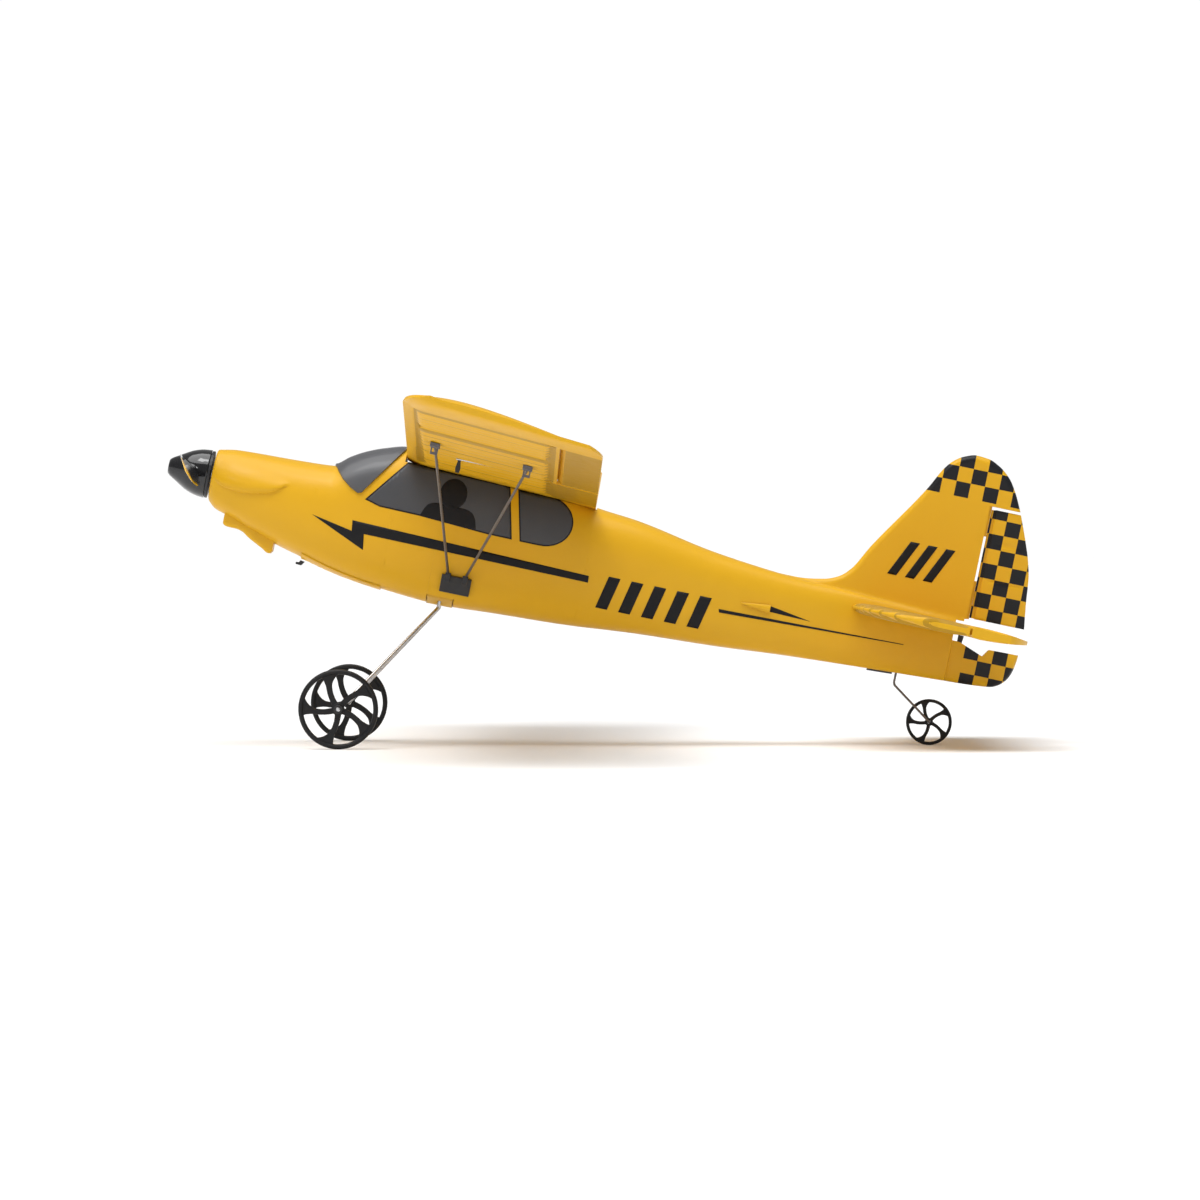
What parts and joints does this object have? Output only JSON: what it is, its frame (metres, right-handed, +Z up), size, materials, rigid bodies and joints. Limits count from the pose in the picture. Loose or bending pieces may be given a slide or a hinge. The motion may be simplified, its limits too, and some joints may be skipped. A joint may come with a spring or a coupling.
{
  "type": "rc foam airplane",
  "caption": "High-wing foam model aeroplane on wire wheels, with working ailerons, elevator, rudder, steering tail wheel, propeller gearbox and battery hatch.",
  "frame": {"origin": "on the ground plane under the centre of the aeroplane's bounding box", "axes": "+Z up, nose towards -X, right wing towards +Y; the aeroplane stands on its three wheels with its nose raised 11.8 degrees"},
  "size_m": [0.4082, 0.6158, 0.1583],
  "materials": {
    "yellow_foam": "satin",
    "yellow_plastic": "satin",
    "windshield_film": "satin",
    "spinner_gloss": "gloss",
    "black_plastic": "satin",
    "wheel_plastic": "satin",
    "propeller_plastic": "gloss",
    "grey_plastic": "satin",
    "strut_wire": "satin",
    "steel_wire": "satin",
    "brass_pinion": "satin",
    "white_nylon": "satin",
    "circuit_board": "satin",
    "battery_foil": "satin"
  },
  "bodies": {
    "airframe": {"fuselage_left_half": "yellow_foam", "fuselage_right_half": "yellow_foam", "chin_scoop": "yellow_foam", "wing": "yellow_foam", "stabiliser": "yellow_foam", "left_pushrod_fairing": "yellow_foam", "right_pushrod_fairing": "yellow_foam", "windshield": "windshield_film", "left_strut_bracket": "black_plastic", "right_strut_bracket": "black_plastic", "left_wheel_collar": "black_plastic", "right_wheel_collar": "black_plastic", "elevator_servo": "black_plastic", "rudder_servo": "black_plastic", "left_aileron_servo": "black_plastic", "right_aileron_servo": "black_plastic", "gear_block": "yellow_plastic", "gearbox_frame": "grey_plastic", "left_front_strut_clip": "grey_plastic", "left_rear_strut_clip": "grey_plastic", "right_front_strut_clip": "grey_plastic", "right_rear_strut_clip": "grey_plastic", "left_front_strut": "strut_wire", "left_rear_strut": "strut_wire", "right_front_strut": "strut_wire", "right_rear_strut": "strut_wire", "left_gear_leg": "steel_wire", "right_gear_leg": "steel_wire", "front_shaft_bearing": "steel_wire", "rear_shaft_bearing": "steel_wire", "motor": "steel_wire", "wing_screw": "white_nylon", "tail_wheel_bush": "white_nylon", "flight_controller": "circuit_board", "battery": "battery_foil"},
    "propeller_set": {"propeller": "propeller_plastic", "spinner": "spinner_gloss", "spinner_backplate": "black_plastic", "propeller_shaft": "steel_wire", "spur_gear": "white_nylon"},
    "motor_rotor": {"motor_shaft": "steel_wire", "motor_pinion": "brass_pinion"},
    "left_aileron_body": {"left_aileron": "yellow_foam"},
    "right_aileron_body": {"right_aileron": "yellow_foam"},
    "left_arm_body": {"left_servo_arm": "black_plastic"},
    "right_arm_body": {"right_servo_arm": "black_plastic"},
    "left_aileron_rod": {"left_aileron_pushrod": "steel_wire"},
    "right_aileron_rod": {"right_aileron_pushrod": "steel_wire"},
    "elevator_body": {"elevator": "yellow_foam", "elevator_horn": "black_plastic"},
    "elevator_rod": {"elevator_pushrod": "steel_wire"},
    "rudder_body": {"rudder": "yellow_foam", "rudder_horn": "black_plastic"},
    "rudder_rod": {"rudder_pushrod": "steel_wire"},
    "tail_fork": {"tail_wheel_wire": "steel_wire"},
    "tail_wheel_body": {"tail_wheel": "wheel_plastic"},
    "left_wheel": {"left_main_wheel": "wheel_plastic"},
    "right_wheel": {"right_main_wheel": "wheel_plastic"},
    "hatch": {"battery_hatch": "yellow_foam", "hatch_latch": "black_plastic"}
  },
  "joints": [
    {"name": "propeller_spin", "type": "hinge", "parent": "airframe", "child": "propeller_set", "pos_m": [-0.19117, 0, 0.12977], "axis": [0.9787, 0, -0.2052], "continuous": true},
    {"name": "motor_spin", "type": "hinge", "parent": "airframe", "child": "motor_rotor", "pos_m": [-0.17658, 0, 0.1165], "axis": [0.9787, 0, -0.2052], "continuous": true},
    {"name": "left_aileron_hinge", "type": "hinge", "parent": "airframe", "child": "left_aileron_body", "pos_m": [-0.01621, -0.19, 0.1319], "axis": [-0.0147, 0.9974, -0.0702], "range_deg": [-20, 20]},
    {"name": "right_aileron_hinge", "type": "hinge", "parent": "airframe", "child": "right_aileron_body", "pos_m": [-0.01621, 0.19, 0.1319], "axis": [0.0147, 0.9974, 0.0702], "range_deg": [-20, 20]},
    {"name": "left_servo_arm_pivot", "type": "hinge", "parent": "airframe", "child": "left_arm_body", "pos_m": [-0.0626, -0.104, 0.13625], "axis": [0, 1, 0], "range_deg": [-15, 15]},
    {"name": "right_servo_arm_pivot", "type": "hinge", "parent": "airframe", "child": "right_arm_body", "pos_m": [-0.0626, 0.104, 0.13625], "axis": [0, 1, 0], "range_deg": [-15, 15]},
    {"name": "left_aileron_rod_slide", "type": "slide", "parent": "airframe", "child": "left_aileron_rod", "axis": [0.9787, 0, -0.2052], "range_m": [-0.0008, 0.0008]},
    {"name": "right_aileron_rod_slide", "type": "slide", "parent": "airframe", "child": "right_aileron_rod", "axis": [0.9787, 0, -0.2052], "range_m": [-0.0008, 0.0008]},
    {"name": "elevator_hinge", "type": "hinge", "parent": "airframe", "child": "elevator_body", "pos_m": [0.17042, 0, 0.05518], "axis": [0, 1, 0], "range_deg": [-20, 20]},
    {"name": "elevator_rod_slide", "type": "slide", "parent": "airframe", "child": "elevator_rod", "axis": [0.9787, 0, -0.2052], "range_m": [-0.0032, 0.0032]},
    {"name": "rudder_hinge", "type": "hinge", "parent": "airframe", "child": "rudder_body", "pos_m": [0.17635, 0, 0.06006], "axis": [0.2052, 0, 0.9787], "range_deg": [-25, 25]},
    {"name": "rudder_rod_slide", "type": "slide", "parent": "airframe", "child": "rudder_rod", "axis": [0.9787, 0, -0.2052], "range_m": [-0.0042, 0.0042]},
    {"name": "tail_wheel_steering", "type": "hinge", "parent": "airframe", "child": "tail_fork", "pos_m": [0.14115, 0, 0.03352], "axis": [0.2052, 0, 0.9787], "range_deg": [-25, 25]},
    {"name": "tail_wheel_spin", "type": "hinge", "parent": "tail_fork", "child": "tail_wheel_body", "pos_m": [0.15695, 0.0003, 0.0109], "axis": [0, 1, 0], "continuous": true},
    {"name": "left_wheel_spin", "type": "hinge", "parent": "airframe", "child": "left_wheel", "pos_m": [-0.12048, -0.0604, 0.0186], "axis": [0, 1, 0], "continuous": true},
    {"name": "right_wheel_spin", "type": "hinge", "parent": "airframe", "child": "right_wheel", "pos_m": [-0.12048, 0.0604, 0.0186], "axis": [0, 1, 0], "continuous": true},
    {"name": "battery_hatch_hinge", "type": "hinge", "parent": "airframe", "child": "hatch", "pos_m": [-0.10324, 0, 0.074], "axis": [0, -1, 0], "range_deg": [0, 70]}
  ],
  "couplings": [
    {"joint": "motor_spin", "follows": "propeller_spin", "ratio": -4},
    {"joint": "right_aileron_hinge", "follows": "left_aileron_hinge", "ratio": -1},
    {"joint": "left_servo_arm_pivot", "follows": "left_aileron_hinge", "ratio": 0.6325},
    {"joint": "right_servo_arm_pivot", "follows": "left_aileron_hinge", "ratio": -0.6325},
    {"joint": "left_aileron_rod_slide", "follows": "left_aileron_hinge", "m_per_rad": -0.001581},
    {"joint": "right_aileron_rod_slide", "follows": "left_aileron_hinge", "m_per_rad": 0.001581},
    {"joint": "elevator_rod_slide", "follows": "elevator_hinge", "m_per_rad": -0.0082},
    {"joint": "rudder_rod_slide", "follows": "rudder_hinge", "m_per_rad": -0.0082},
    {"joint": "tail_wheel_steering", "follows": "rudder_hinge", "ratio": 1}
  ]
}
